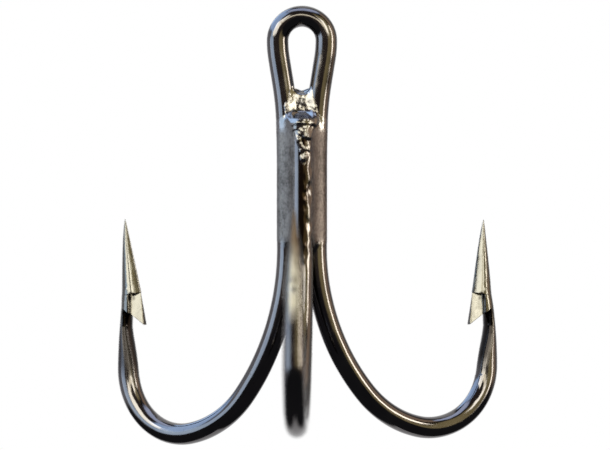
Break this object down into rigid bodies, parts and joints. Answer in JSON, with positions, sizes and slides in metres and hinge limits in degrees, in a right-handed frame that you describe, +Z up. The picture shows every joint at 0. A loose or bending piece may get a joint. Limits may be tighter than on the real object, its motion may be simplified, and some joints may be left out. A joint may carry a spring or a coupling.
{
  "type": "treble hook",
  "caption": "Treble fishing hook: a wire bent double into a teardrop eye and barbed side hooks, with a further barbed hook wire brazed to its shank.",
  "frame": {"origin": "centre of the eye's top arc, on the centreline of the wire's loop", "axes": "+Z up the shank towards the eye, -Y the way the single hook points, and +X the side of the double wire's right hook, which stands 30 degrees behind +X. The eye lies in the XZ plane."},
  "size_m": [0.0302, 0.0257, 0.0345],
  "materials": {
    "plated_wire": "dark nickel plate, mirror bright",
    "bright_braze": "braze metal under bright plate, lumpy",
    "satin_braze": "braze metal under satin plate"
  },
  "bodies": {
    "root": {"double_hook_wire": "plated_wire", "single_hook_wire": "plated_wire", "braze_throat": "bright_braze", "braze_fillet_left": "satin_braze", "braze_fillet_right": "satin_braze", "braze_seam_rear": "satin_braze"}
  },
  "joints": []
}
